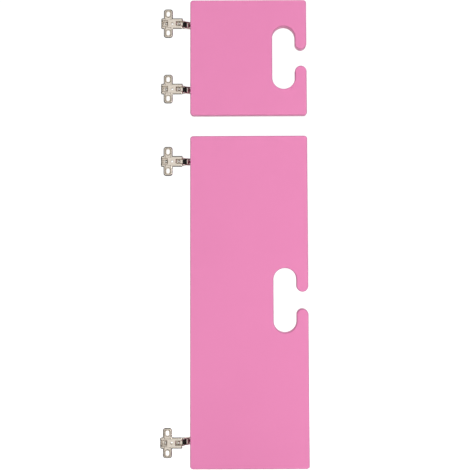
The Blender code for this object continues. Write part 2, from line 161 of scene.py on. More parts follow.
def cut(obj, tool, how="DIFFERENCE"):
    """Cut one finished mesh with another and keep the result; the tool is used up."""
    modifier = obj.modifiers.new("cut", "BOOLEAN")
    modifier.operation = how
    modifier.solver = "EXACT"
    modifier.material_mode = "TRANSFER"
    modifier.object = tool
    bake_in(obj)
    bpy.data.objects.remove(tool, do_unlink=True)
    return obj


def bake_in(obj):
    """Replace an object's mesh by what its modifiers make of it."""
    graph = bpy.context.evaluated_depsgraph_get()
    mesh = bpy.data.meshes.new_from_object(obj.evaluated_get(graph))
    obj.modifiers.clear()
    old = obj.data
    obj.data = mesh
    bpy.data.meshes.remove(old)


def turned(name, profile, axis, centre, seg=32):
    """Surface of revolution: each (radius, along) point goes round an axis through the centre.
    axis "y" or "z"; a radius of zero at an end closes the pole through a tiny ring."""
    profile = np.array(profile, float)
    a = np.linspace(0, 2 * np.pi, seg, endpoint=False)
    radius = np.maximum(profile[:, 0], 0.01)[:, None]
    p = radius * np.cos(a)[None, :]
    q = radius * np.sin(a)[None, :]
    s = np.repeat(profile[:, 1][:, None], seg, axis=1)
    c = np.array(centre, float)
    if axis == "y":
        rings = np.stack([c[0] + p, c[1] + s, c[2] + q], axis=-1)
    else:
        rings = np.stack([c[0] + p, c[1] + q, c[2] + s], axis=-1)
    return skin(name, rings)


def door_edge(low, high, inset):
    """Outline of a door in x-z between two corners, every part of it moved inwards by inset.
    Outer corners and hook tips lose the inset from their radius and the finger hole gains it."""
    middle_z = (low[2] + high[2]) / 2
    tip = WEB / 2
    slot_x = high[0] - WEB - HOLE_R
    tip_x = high[0] - tip
    parts = [
        turn(low[0] + CORNER_R, low[2] + CORNER_R, CORNER_R - inset, 180, 270, 10),
        turn(high[0] - CORNER_R, low[2] + CORNER_R, CORNER_R - inset, 270, 360, 10),
        turn(tip_x, middle_z - MOUTH_HALF - tip, tip - inset, 0, 180, 28),
        turn(slot_x, middle_z - HOLE_REACH, HOLE_R + inset, 0, -180, 40),
        turn(slot_x, middle_z + HOLE_REACH, HOLE_R + inset, 180, 0, 40),
        turn(tip_x, middle_z + MOUTH_HALF + tip, tip - inset, 180, 360, 28),
        turn(high[0] - CORNER_R, high[2] - CORNER_R, CORNER_R - inset, 0, 90, 10),
        turn(low[0] + CORNER_R, high[2] - CORNER_R, CORNER_R - inset, 90, 180, 10),
    ]
    return np.concatenate(parts)


def grain_group():
    """Node group: two sizes of noise added into a fine surface height, and a broad slow mask."""
    group = bpy.data.node_groups.new("pressed_grain", "ShaderNodeTree")
    for label, value in (("Grain scale", 900.0), ("Peel scale", 260.0), ("Cloud scale", 7.0)):
        socket = group.interface.new_socket(label, in_out="INPUT", socket_type="NodeSocketFloat")
        socket.default_value = value
    group.interface.new_socket("Height", in_out="OUTPUT", socket_type="NodeSocketFloat")
    group.interface.new_socket("Cloud", in_out="OUTPUT", socket_type="NodeSocketFloat")
    nodes, links = group.nodes, group.links
    inputs = nodes.new("NodeGroupInput")
    outputs = nodes.new("NodeGroupOutput")
    place = nodes.new("ShaderNodeTexCoord")
    noises = []
    for socket, detail in (("Grain scale", 2.0), ("Peel scale", 1.0), ("Cloud scale", 3.0)):
        noise = nodes.new("ShaderNodeTexNoise")
        noise.inputs["Detail"].default_value = detail
        links.new(place.outputs["Object"], noise.inputs["Vector"])
        links.new(inputs.outputs[socket], noise.inputs["Scale"])
        noises.append(noise)
    blend = nodes.new("ShaderNodeMath")
    blend.operation = "MULTIPLY_ADD"
    blend.inputs[1].default_value = 0.45
    links.new(noises[0].outputs["Fac"], blend.inputs[0])
    links.new(noises[1].outputs["Fac"], blend.inputs[2])
    links.new(blend.outputs[0], outputs.inputs["Height"])
    links.new(noises[2].outputs["Fac"], outputs.inputs["Cloud"])
    return group


PRESSED_GRAIN = grain_group()


def sheet_finish(name, light, dark, rough, bump, scales):
    """A pressed, non-metal sheet: slow colour clouding, fine roughness change and fine grain."""
    mat = bpy.data.materials.new(name)
    mat.use_nodes = True
    nodes, links = mat.node_tree.nodes, mat.node_tree.links
    shader = nodes["Principled BSDF"]
    grain = nodes.new("ShaderNodeGroup")
    grain.node_tree = PRESSED_GRAIN
    for socket, value in zip(("Grain scale", "Peel scale", "Cloud scale"), scales):
        grain.inputs[socket].default_value = value
    tone = nodes.new("ShaderNodeMix")
    tone.data_type = "RGBA"
    tone.inputs["A"].default_value = (*dark, 1)
    tone.inputs["B"].default_value = (*light, 1)
    links.new(grain.outputs["Cloud"], tone.inputs["Factor"])
    links.new(tone.outputs["Result"], shader.inputs["Base Color"])
    spread = nodes.new("ShaderNodeMapRange")
    spread.inputs["To Min"].default_value = rough - 0.05
    spread.inputs["To Max"].default_value = rough + 0.05
    links.new(grain.outputs["Height"], spread.inputs["Value"])
    links.new(spread.outputs["Result"], shader.inputs["Roughness"])
    lift = nodes.new("ShaderNodeBump")
    lift.inputs["Strength"].default_value = 1.0
    lift.inputs["Distance"].default_value = bump
    links.new(grain.outputs["Height"], lift.inputs["Height"])
    links.new(lift.outputs["Normal"], shader.inputs["Normal"])
    shader.inputs["Specular IOR Level"].default_value = 0.4
    return mat


foil = sheet_finish("matt_pink_foil", PINK, PINK_DEEP, 0.52, 0.00003, (1500.0, 330.0, 5.0))
# Painted shade: the edges' greyer pink stands in for the shade on the rounded rim.
rim_shade_finish = sheet_finish("pink_rim_painted_shade", RIM_SHADE_PINK, RIM_SHADE_PINK_DEEP, 0.40, 0.00002, (1900.0, 520.0, 12.0))
fibre = sheet_finish("raw_fibreboard", FIBRE, FIBRE_DARK, 0.85, 0.00012, (2600.0, 900.0, 420.0))


def make_board(door):
    """A door board: ring outlines stepped through a back chamfer, the edge and a front
    quarter-round, where a point at angle t lies R(1 - cos t) in and R(1 - sin t) back."""
    panel = f"{door}_panel"
    low, high = (np.array(v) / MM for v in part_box(panel))
    t = np.radians(np.linspace(0, 90, 11))
    insets = np.concatenate([[BACK_EASE, 0.0], FRONT_ROUND * (1 - np.cos(t)), [FRONT_ROUND + 0.6]])
    depths = np.concatenate([[0.0, BACK_EASE], FRONT_ROUND * (np.sin(t) - 1) + (high[1] - low[1])])
    depths = np.append(depths, depths[-1])
    rings = []
    for inset, depth in zip(insets, depths):
        rings.append(at_depth(door_edge(low, high, inset), high[1] - depth))
    board = skin(f"{door}_board", np.array(rings))
    for mat in (foil, rim_shade_finish, fibre):
        board.data.materials.append(mat)
    # Rings from the back chamfer to partway round the front round-over take the greyer pink: painted
    # shade for the rim.
    shaded_layers = int(np.searchsorted(insets[1:], RIM_SHADE_REACH))
    layer = np.arange(len(board.data.polygons)) // len(rings[0])
    board.data.polygons.foreach_set("material_index", (layer < shaded_layers).astype(np.int32))
    for hinge in HINGES[door]:
        cup = middle(f"{hinge}_cup")
        spots = [(low[0] + CUP_SETBACK, cup[2], BORE_R, BORE_DEPTH, 64)]
        for screw in ("lower", "upper"):
            at = middle(f"{hinge}_cup_screw_{screw}")
            spots.append((at[0], at[2], PILOT_R, PILOT_DEPTH, 24))
        for x, z, r, depth, seg in spots:
            profile = [(0, -depth), (r, -depth), (r, 3), (0, 3)]
            tool = turned("boring", profile, "y", (x, high[1], z), seg)
            tool.data.materials.append(fibre)
            cut(board, tool)
    smooth(board, 30)
    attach(board, door)
    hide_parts(panel)


make_board("tall_door")
make_board("small_door")

# ======================================================================================
# Hinge cups. Each is pressed from nickel-plated steel sheet: a 35 mm cup let into the
# door's back, an ear plate for two screws, and two cheeks that carry the pin and studs.
# ======================================================================================
EDGE_X = np.array(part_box("tall_door_panel")[0])[0] / MM
BACK_Y = np.array(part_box("tall_door_panel")[1])[1] / MM
CUP_X = EDGE_X + CUP_SETBACK
PIVOT_B = middle("tall_door_bottom_hinge_cup_pin")[:2]
PIN_TO_STUD = (6.15, -0.9)
PIVOT_C = PIVOT_B + np.array(PIN_TO_STUD)
CUP_SCREWS_X = EDGE_X + 30.0
CUP_SCREWS_Z = 22.5
SEAT_GAP = 0.3
EAR_SHEET = 0.98
EAR_HALF = 5.4
EAR_REACH = 27.4
EAR_RIM = 18.2
EAR_CORNER = 4
CUP_MOUTH_R = 16.7
CHEEK_IN, CHEEK_OUT = 6.3, 7.2
CHEEK_REAR, CHEEK_FRONT = 5.3, 18.0
CHEEK_FOOT, CHEEK_CROWN = 11.1, 2.6
STUD_R = 0.85
STUD_TIP, STUD_ROOT = 2.95, 6.8
NICKEL = (0.82, 0.755, 0.67)
NICKEL_WORN = (0.68, 0.61, 0.52)
# Dark colour of the painted shade in the sheet's creases.
NICKEL_CREASE_SHADE = (0.16, 0.13, 0.10)


def counter(outline):
    """The outline with its points in counter-clockwise order, by the sign of its area."""
    x, y = outline[:, 0], outline[:, 1]
    area = np.sum(x * np.roll(y, -1) - np.roll(x, -1) * y)
    return outline if area > 0 else outline[::-1]


def shrink(outline, d):
    """Each corner moved in along its mitre: d (n1 + n2) / (1 + n1.n2), n being edge normals."""
    edge = np.roll(outline, -1, axis=0) - outline
    edge = edge / np.linalg.norm(edge, axis=1, keepdims=True)
    after = np.stack([-edge[:, 1], edge[:, 0]], axis=1)
    before = np.roll(after, 1, axis=0)
    dot = np.sum(after * before, axis=1, keepdims=True)
    return outline + d * (after + before) / np.maximum(1 + dot, 0.35)


def slab(name, outline, axis, low, high, ease, steps=4):
    """An outline drawn out between two heights, with a quarter-round of radius ease on both
    rims: at angle t the ring is ease (1 - sin t) in and ease (1 - cos t) from the face."""
    outline = counter(np.array(outline, float))
    t = np.radians(np.linspace(0, 90, steps + 1))
    insets = ease * (1 - np.sin(t))
    lifts = ease * (1 - np.cos(t))
    insets = np.concatenate([insets, insets[::-1]])
    heights = np.concatenate([low + lifts, high - lifts[::-1]])
    rings = []
    for inset, height in zip(insets, heights):
        ring = at_depth(shrink(outline, inset), height)
        rings.append(ring if axis == "y" else ring[:, [0, 2, 1]])
    return skin(name, np.array(rings))


def block(name, low, high, ease=0.2):
    """A rounded block between two corners."""
    corners = [(low[0], low[1]), (high[0], low[1]), (high[0], high[1]), (low[0], high[1])]
    return slab(name, corners, "z", low[2], high[2], ease, 2)


def stadium(x, z, r, half, along_x=True, steps=14):
    """A slot outline: two half circles of radius r whose centres lie half either way."""
    if along_x:
        parts = [turn(x + half, z, r, -90, 90, steps), turn(x - half, z, r, 90, 270, steps)]
    else:
        parts = [turn(x, z + half, r, 0, 180, steps), turn(x, z - half, r, 180, 360, steps)]
    return np.concatenate(parts)


def assemble(name, pieces):
    """Several closed shells put together as one mesh, one after another."""
    shells = bmesh.new()
    for piece in pieces:
        shells.from_mesh(piece.data)
        bpy.data.objects.remove(piece, do_unlink=True)
    mesh = bpy.data.meshes.new(name)
    shells.to_mesh(mesh)
    shells.free()
    obj = bpy.data.objects.new(name, mesh)
    bpy.context.scene.collection.objects.link(obj)
    return obj


def crease_shade_group():
    """Node group: how far a point is shut in by its own piece, as a mask for painted shade that
    darkens its creases.
    """
    group = bpy.data.node_groups.new("crease_painted_shade", "ShaderNodeTree")
    reach = group.interface.new_socket("Reach", in_out="INPUT", socket_type="NodeSocketFloat")
    reach.default_value = 0.0018
    group.interface.new_socket("Crease shade", in_out="OUTPUT", socket_type="NodeSocketFloat")
    nodes, links = group.nodes, group.links
    inputs = nodes.new("NodeGroupInput")
    outputs = nodes.new("NodeGroupOutput")
    shut = nodes.new("ShaderNodeAmbientOcclusion")
    shut.only_local = True
    shut.samples = 8
    links.new(inputs.outputs["Reach"], shut.inputs["Distance"])
    mask = nodes.new("ShaderNodeMapRange")
    mask.inputs["From Min"].default_value = 0.92
    mask.inputs["From Max"].default_value = 0.35
    links.new(shut.outputs["AO"], mask.inputs["Value"])
    links.new(mask.outputs["Result"], outputs.inputs["Crease shade"])
    return group


CREASE_SHADE = crease_shade_group()


def plated_finish(name, light, dark, crease_shade_colour, rough, bump, scales, metallic=1.0):
    """A plated metal: cloudy plate, fine roughness change and pitting, and painted shade darkening its
    creases.
    """
    mat = bpy.data.materials.new(name)
    mat.use_nodes = True
    nodes, links = mat.node_tree.nodes, mat.node_tree.links
    shader = nodes["Principled BSDF"]
    shader.inputs["Metallic"].default_value = metallic
    grain = nodes.new("ShaderNodeGroup")
    grain.node_tree = PRESSED_GRAIN
    for socket, value in zip(("Grain scale", "Peel scale", "Cloud scale"), scales):
        grain.inputs[socket].default_value = value
    shade_mask = nodes.new("ShaderNodeGroup")
    shade_mask.node_tree = CREASE_SHADE
    tone = nodes.new("ShaderNodeMix")
    tone.data_type = "RGBA"
    tone.inputs["A"].default_value = (*dark, 1)
    tone.inputs["B"].default_value = (*light, 1)
    links.new(grain.outputs["Cloud"], tone.inputs["Factor"])
    # Painted shade: the colour is pulled towards a dark colour where the piece shuts itself in.
    shade_mix = nodes.new("ShaderNodeMix")
    shade_mix.data_type = "RGBA"
    shade_mix.inputs["B"].default_value = (*crease_shade_colour, 1)
    links.new(shade_mask.outputs["Crease shade"], shade_mix.inputs["Factor"])
    links.new(tone.outputs["Result"], shade_mix.inputs["A"])
    links.new(shade_mix.outputs["Result"], shader.inputs["Base Color"])
    spread = nodes.new("ShaderNodeMapRange")
    spread.inputs["To Min"].default_value = rough - 0.07
    spread.inputs["To Max"].default_value = rough + 0.09
    links.new(grain.outputs["Cloud"], spread.inputs["Value"])
    links.new(spread.outputs["Result"], shader.inputs["Roughness"])
    lift = nodes.new("ShaderNodeBump")
    lift.inputs["Strength"].default_value = 1.0
    lift.inputs["Distance"].default_value = bump
    links.new(grain.outputs["Height"], lift.inputs["Height"])
    links.new(lift.outputs["Normal"], shader.inputs["Normal"])
    return mat


nickel_sheet = plated_finish(
    "nickel_plated_sheet", NICKEL, NICKEL_WORN, NICKEL_CREASE_SHADE, 0.27, 0.000012, (3200.0, 800.0, 260.0)
)


def fit_to_hinges(pattern, part, body, mat=None):
    """Copy a pattern piece, made at the lowest hinge, to the height of all four hinges.
    A pattern that already wears more than one finish is given no material here."""
    smooth(pattern)
    if mat:
        pattern.data.materials.clear()
        pattern.data.materials.append(mat)
    for door, pair in HINGES.items():
        for hinge in pair:
            mesh = pattern.data.copy()
            co = points_of(mesh)
            co[:, 2] += middle(f"{hinge}_mounting_plate")[2] * MM
            mesh.vertices.foreach_set("co", co.ravel())
            piece = bpy.data.objects.new(f"{hinge}_{part}_piece", mesh)
            bpy.context.scene.collection.objects.link(piece)
            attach(piece, body.format(door=door, stem=door.split("_")[0]))
            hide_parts(f"{hinge}_{part}")
    bpy.data.objects.remove(pattern, do_unlink=True)


def ear_plate():
    """Outline in x-z of the flange: the cup's rim circle crossed by a round-cornered bar."""
    low, high = CUP_SCREWS_X - EAR_HALF, CUP_SCREWS_X + EAR_HALF
    meet = math.degrees(math.acos((low - CUP_X) / EAR_RIM))
    leave = math.degrees(math.acos((high - CUP_X) / EAR_RIM))
    left, right, end, r = low + EAR_CORNER, high - EAR_CORNER, EAR_REACH - EAR_CORNER, EAR_CORNER
    return np.concatenate(
        [
            turn(CUP_X, 0, EAR_RIM, meet, 360 - meet, 60),
            turn(left, -end, r, 180, 270, 8),
            turn(right, -end, r, 270, 360, 8),
            turn(CUP_X, 0, EAR_RIM, -leave, leave, 16),
            turn(right, end, r, 0, 90, 8),
            turn(left, end, r, 90, 180, 8),
        ]
    )


def cup_bowl():
    """The pressed bowl: inner floor with a raised ring, filleted wall, rolled lip, outer skin."""
    floor, under, top = -10.6, -11.6, 1.4
    fillet = turn(14.7, floor + 1.6, 1.6, -90, 0, 6)
    lip = turn(17.0, top - 0.7, 0.7, 180, 90, 5)
    rim = turn(17.9, top - 0.4, 0.4, 90, 0, 4)
    foot = turn(15.8, under + 1.4, 1.4, 0, -90, 6)
    start = [(0, floor), (5.6, floor), (6.0, floor + 0.35), (9.4, floor + 0.35), (9.8, floor)]
    flange = [(18.3, 0.5), (17.3, 0.3)]
    profile = np.concatenate([start, fillet, lip, rim, flange, foot, [(0, under)]])
    profile[:, 1] += BACK_Y
    return turned("bowl", profile, "y", (CUP_X, 0, 0), 96)


ears = slab("ears", ear_plate(), "y", BACK_Y + SEAT_GAP, BACK_Y + SEAT_GAP + EAR_SHEET, 0.3)
mouth = [(0, -3), (CUP_MOUTH_R, -3), (CUP_MOUTH_R, 4), (0, 4)]
cut(ears, turned("mouth", mouth, "y", (CUP_X, BACK_Y, 0), 96))
for side in (-1, 1):
    spot = (CUP_SCREWS_X, BACK_Y, side * CUP_SCREWS_Z)
    cut(ears, turned("screw_hole", [(0, -3), (2.35, -3), (2.35, 0.9), (3.3, 4), (0, 4)], "y", spot))
cheeks = []
for side in (-1, 1):
    near, far = sorted((side * CHEEK_IN, side * CHEEK_OUT))
    x0, x1 = EDGE_X + CHEEK_REAR, EDGE_X + CHEEK_FRONT
    y0, y1 = BACK_Y - CHEEK_FOOT, BACK_Y - CHEEK_CROWN
    shape = [(x0, y0), (x1, y0), (x1, y0 + 4), (x1 - 2.2, y1 - 2.0), (x1 - 4.2, y1), (x0, y1)]
    cheeks.append(slab("cheek", shape, "z", near, far, 0.25))
    tip, root = side * STUD_TIP, side * STUD_ROOT
    stud = [(0, tip), (0.6, tip), (STUD_R, tip + side * 0.25), (STUD_R, root), (0, root)]
    cheeks.append(turned("stud", stud, "z", (*PIVOT_C, 0), 20))
cup = assemble("cup", [cup_bowl(), ears] + cheeks)
fit_to_hinges(cup, "cup", "{door}", nickel_sheet)

# ======================================================================================
# Cup pins and screws. The pin is cold-headed wire; the screws are bright zinc-plated steel
# with round heads and a cross recess, driven into the back of the door or into the plate.
# ======================================================================================
STEEL = (0.80, 0.78, 0.74)
STEEL_DULL = (0.62, 0.60, 0.57)
# Dark colour of the painted shade in the screws' creases.
STEEL_CREASE_SHADE = (0.10, 0.09, 0.08)
SCREW_HEAD_R = 3.7
SCREW_HEAD_H = 2.1
SCREW_SHANK_R = 2.0
CUP_SCREW_LENGTH = 14.0
CUP_SCREW_SEAT = 1.7
THREAD_PITCH = 0.9
THREAD_RIDGE = 0.32
RECESS_REACH = 0.56
RECESS_HALF = 0.11
zinc_screw = plated_finish(
    "bright_zinc_screw", STEEL, STEEL_DULL, STEEL_CREASE_SHADE, 0.2, 0.000008, (4200.0, 1400.0, 500.0)
)


def screw(name, x, y, z, head_r, length, threaded_from):
    """A screw along y: the radius of every ring is its profile, plus a thread ridge that is
    a triangle wave of (distance / pitch - turn), so the ridge climbs once round per pitch."""
    head_h, shank_r = SCREW_HEAD_H, SCREW_SHANK_R
    head = turn(0, 0, 1, 0, 82, 7)
    crown = [(head_r * c, 0.35 * head_h + 0.65 * head_h * s) for c, s in head]
    under = [(0, -length), (shank_r - 0.7, -length)]
    shaft = np.linspace(-length + 0.6, -0.02, int(length / 0.11))
    profile = under + [(shank_r, s) for s in shaft]
    profile += [(shank_r, 0), (head_r - 0.15, 0), (head_r, 0.15)] + crown + [(0, head_h)]
    profile = np.array(profile)
    a = np.linspace(0, 2 * np.pi, 36, endpoint=False)
    radius = np.repeat(np.maximum(profile[:, 0], 0.01)[:, None], len(a), axis=1)
    along = np.repeat(profile[:, 1][:, None], len(a), axis=1)
    phase = (along / THREAD_PITCH - a[None, :] / (2 * np.pi)) % 1.0
    wave = 1 - np.abs(2 * phase - 1)
    shaft_only = (np.abs(profile[:, 0] - shank_r) < 1e-6) & (profile[:, 1] < threaded_from)
    radius -= shaft_only[:, None] * THREAD_RIDGE * (1 - wave)
    rings = np.stack([x + radius * np.cos(a), y + along, z + radius * np.sin(a)], axis=-1)
    piece = skin(name, rings)
    arm, half = head_r * RECESS_REACH, head_r * RECESS_HALF
    floor = y + head_h - 0.55 * head_h - 0.35
    for dx, dz in ((arm, half), (half, arm)):
        shape = [(x - dx, z - dz), (x + dx, z - dz), (x + dx, z + dz), (x - dx, z + dz)]
        cut(piece, slab("recess", shape, "y", floor, y + head_h + 1, 0.02, 1))
    return piece


shank = [(0, -7.9), (0.6, -7.9), (0.85, -7.65), (0.85, 7.5)]
button = [(1.3, 7.5), (1.45, 7.7), (1.35, 8.1), (0.9, 8.2), (0, 8.2)]
piece = turned("pin", shank + button, "z", (*PIVOT_B, 0), 24)
fit_to_hinges(piece, "cup_pin", "{door}", zinc_screw)
for side, word in ((-1, "lower"), (1, "upper")):
    spot = (CUP_SCREWS_X, BACK_Y + CUP_SCREW_SEAT, side * CUP_SCREWS_Z)
    piece = screw("cup_screw", *spot, SCREW_HEAD_R, CUP_SCREW_LENGTH, -3.0)
    fit_to_hinges(piece, f"cup_screw_{word}", "{door}", zinc_screw)

# ======================================================================================
# Mounting plates. Each is a zinc casting, nickel plated: a cross with a screw slot in each
# wing, a rail for the arm on its face, and a hollowed underside that stands on the cabinet.
# ======================================================================================
PLATE_REAR, PLATE_FRONT = -11.7, 24.3
RAIL_HALF = 4.2
BAR_HALF = 9.0
WING_HALF = 7.5
WING_END = 24.25
SLOT_AT = 16.0
SLOT_R = 2.6
SLOT_RISE = 1.4
RIM_BEVEL = 1.6
RIM_ROUND = 0.5
SHEET = 2.2
RAIL_TOP = 8.1
RAIL_ROOT = 1.4
COLLAR_WALL = 1.8
COLLAR_RISE = 0.9
DISH_WALL = 1.15
POCKET_DEEP = 0.8
POCKET_RIM = RIM_BEVEL + 0.9
DRAFT = 0.7
REAR_HOLLOW_DEEP = 1.4
FRONT_HOLLOW_DEEP = 1.2
TOOTH_PITCH = 1.1
TOOTH_GAP = 0.5
SIGHT_X = 6.7
CASTING = (0.84, 0.765, 0.675)
CASTING_WORN = (0.70, 0.625, 0.53)
# Dark colour of the painted shade in the casting's creases.
CASTING_CREASE_SHADE = (0.11, 0.085, 0.06)
FIXING_X = middle("tall_door_bottom_hinge_fixing_screw")[0]
SIDE_X = middle("tall_door_bottom_hinge_side_screw")[0]
nickel_casting = plated_finish(
    "nickel_plated_casting",
    CASTING,
    CASTING_WORN,
    CASTING_CREASE_SHADE,
    0.25,
    0.00004,
    (1800.0, 620.0, 190.0),
)


def cross(shrunk=0.0):
    """Outline in x-z of the plate: a bar along x and round-ended wings across it."""
    soft, round_end = 1.5, 4.4
    bar, wing, end = BAR_HALF - shrunk, WING_HALF - shrunk, WING_END - shrunk
    rear, front, r = PLATE_REAR + shrunk, PLATE_FRONT - shrunk, round_end - shrunk
    neck = 1.0
    return np.concatenate(
        [
            turn(rear + soft, -bar + soft, soft, 180, 270, 5),
            turn(-wing - neck, -bar - neck, neck, 90, 0, 5),
            turn(-wing + r, -end + r, r, 180, 270, 10),
            turn(wing - r, -end + r, r, 270, 360, 10),
            turn(wing + neck, -bar - neck, neck, 180, 90, 5),
            turn(front - soft, -bar + soft, soft, 270, 360, 5),
            turn(front - soft, bar - soft, soft, 0, 90, 5),
            turn(wing + neck, bar + neck, neck, 270, 180, 5),
            turn(wing - r, end - r, r, 0, 90, 10),
            turn(-wing + r, end - r, r, 90, 180, 10),
            turn(-wing - neck, bar + neck, neck, 0, -90, 5),
            turn(rear + soft, bar - soft, soft, 90, 180, 5),
        ]
    )


def cast_cross():
    """The cross drawn up from a bevelled foot to a rounded upper rim: each ring is the outline
    moved in, by the bevel's width at the foot and by a quarter-round at the top."""
    t = np.radians(np.linspace(0, 90, 4))
    foot_in, foot_up = [RIM_BEVEL, RIM_BEVEL - 0.1, 0.08, 0.0], [0.0, 0.03, RIM_BEVEL - 0.1, RIM_BEVEL]
    insets = np.concatenate([foot_in, RIM_ROUND * (1 - np.cos(t))])
    heights = np.concatenate([foot_up, SHEET - RIM_ROUND + RIM_ROUND * np.sin(t)])
    rings = [at_depth(cross(inset), height) for inset, height in zip(insets, heights)]
    return skin("plate", np.array(rings))


def drafted(name, wide, narrow, deep):
    """A pocket cutter with sloping walls: the wide outline at the foot, the narrow one at depth."""
    levels = ((wide, -0.6), (wide, 0.0), (narrow, deep))
    return skin(name, np.array([at_depth(outline, height) for outline, height in levels]))


def frame_outline(x0, x1, half, r, steps=6):
    """A rounded rectangle in x-z from x0 to x1, half high either way, with corners of radius r."""
    return np.concatenate(
        [
            turn(x0 + r, -half + r, r, 180, 270, steps),
            turn(x1 - r, -half + r, r, 270, 360, steps),
            turn(x1 - r, half - r, r, 0, 90, steps),
            turn(x0 + r, half - r, r, 90, 180, steps),
        ]
    )


plate = cast_cross()
# The rail stands on the face, with a raised collar round each wing slot.
rear, front = PLATE_REAR + 1.2, PLATE_FRONT - 0.5
rail_box = [(rear, -RAIL_HALF), (front, -RAIL_HALF), (front, RAIL_HALF), (rear, RAIL_HALF)]
cut(plate, slab("rail", rail_box, "y", RAIL_ROOT, RAIL_TOP, 0.5), "UNION")
for side in (-1, 1):
    collar = stadium(0, side * SLOT_AT, SLOT_R + COLLAR_WALL, SLOT_RISE, False)
    cut(plate, slab("collar", collar, "y", RAIL_ROOT, SHEET + COLLAR_RISE, 0.35), "UNION")
# The underside is hollowed inside its rim, but left full round the slots and along the bar.
pocket = drafted("pocket", cross(POCKET_RIM), cross(POCKET_RIM + DRAFT), POCKET_DEEP)
for side in (-1, 1):
    wide = stadium(0, side * SLOT_AT, SLOT_R + 2.0, SLOT_RISE, False)
    narrow = stadium(0, side * SLOT_AT, SLOT_R + 1.2, SLOT_RISE, False)
    levels = ((narrow, -2), (narrow, 0), (wide, POCKET_DEEP), (wide, 2))
    island = [at_depth(outline, height) for outline, height in levels]
    cut(pocket, skin("island", np.array(island)))
spine = frame_outline(PLATE_REAR - 1, PLATE_FRONT + 1, 6.4, 0.5)
cut(pocket, slab("spine", spine, "y", -2, 2, 0.02, 1))
cut(plate, pocket)
# Two deeper hollows under the bar lead into a well and a channel for the arm's two screws.
rear_wide = frame_outline(PLATE_REAR + 0.9, -0.3, 5.2, 1.0)
rear_narrow = frame_outline(PLATE_REAR + 2.1, -1.2, 4.0, 0.6)
cut(plate, drafted("rear_hollow", rear_wide, rear_narrow, REAR_HOLLOW_DEEP))
front_wide = frame_outline(SIDE_X - 5.4, PLATE_FRONT + 3, 4.2, 1.0)
front_narrow = frame_outline(SIDE_X - 4.5, PLATE_FRONT + 3, 3.2, 0.6)
cut(plate, drafted("front_hollow", front_wide, front_narrow, FRONT_HOLLOW_DEEP))
cut(plate, block("rear_well", (PLATE_REAR + 2.6, -1.2, -2.6), (-1.1, 5.6, 2.6), 0.3))
cut(plate, block("front_channel", (SIDE_X - 4.4, -1, -3.2), (PLATE_FRONT + 1, 6.0, 3.2), 0.3))
for x, r, y0 in ((SIDE_X, 2.5, 4.0), (FIXING_X, 2.25, 4.0)):
    cut(plate, turned("tapping", [(0, y0), (r, y0), (r, 10), (0, 10)], "y", (x, 0, 0), 36))
above = RAIL_TOP + 1
sight = [(0, -1), (2.8, -1), (2.0, 0.6), (2.0, RAIL_TOP - 0.4), (2.6, above), (0, above)]
cut(plate, turned("sight", sight, "y", (SIGHT_X, 0, 0), 36))
for side in (-1, 1):
    hole = stadium(0, side * SLOT_AT, SLOT_R, SLOT_RISE, False)
    cut(plate, slab("slot", hole, "y", -1, 5, 0.02, 1))
    dish = stadium(0, side * SLOT_AT, SLOT_R + DISH_WALL, SLOT_RISE, False)
    cut(plate, slab("dish", dish, "y", SHEET + 0.1, SHEET + 3.0, 1.1, 4))
# Fine teeth across the rail's rear end grip the arm under its fixing screw.
for x in np.arange(PLATE_REAR + 2.0, FIXING_X - 3.0, TOOTH_PITCH):
    cut(plate, block("tooth_gap", (x, RAIL_TOP - 0.35, -3.6), (x + TOOTH_GAP, above, 3.6), 0.05))
fit_to_hinges(plate, "mounting_plate", "hinge_mounts", nickel_casting)

# ======================================================================================
# Arms. Each is a channel folded from nickel-plated steel, open towards the plate, clipped
# over the rail at the rear and reaching up to both link rivets at the front.
# ======================================================================================
PIVOT_A = middle("tall_door_bottom_hinge_outer_rivet")[:2]
PIVOT_D = middle("tall_door_bottom_hinge_inner_rivet")[:2]
A_X, A_Y = PIVOT_A
D_X, D_Y = PIVOT_D
RIVET_HOLE_R = 1.5
ARM_HALF = 5.85
ARM_SHEET = 1.25
ARM_TOP = 9.8
ARM_SKIRT = 3.0
ARM_REAR = -12.5


def through(r):
    """Profile of a cutter for a cross hole of radius r, longer than the hinge is wide."""
    return [(0, -8), (r, -8), (r, 8), (0, 8)]


def arm_side():
    """Outline in x-y of the arm's cheek, with round noses about both rivets."""
    rear, foot, top = ARM_REAR, ARM_SKIRT, ARM_TOP
    return np.concatenate(
        [
            [(rear, foot + 1.2), (rear + 0.4, foot + 0.4), (rear + 1.2, foot)],
            [(A_X - 6.6, foot), (A_X - 5.6, foot + 0.5)],
            turn(A_X, A_Y, 3.2, -135, -53.1, 14),
            turn(D_X, D_Y, 2.8, -53.1, 126.9, 28),
            [(A_X - 1.9, A_Y + 4.6), (A_X - 3.0, A_Y + 3.6), (A_X - 3.6, A_Y + 2.2)],
            [(A_X - 3.9, top + 0.6), (A_X - 4.5, top)],
            [(rear + 1.2, top), (rear + 0.4, top - 0.4), (rear, top - 1.2)],
        ]
    )


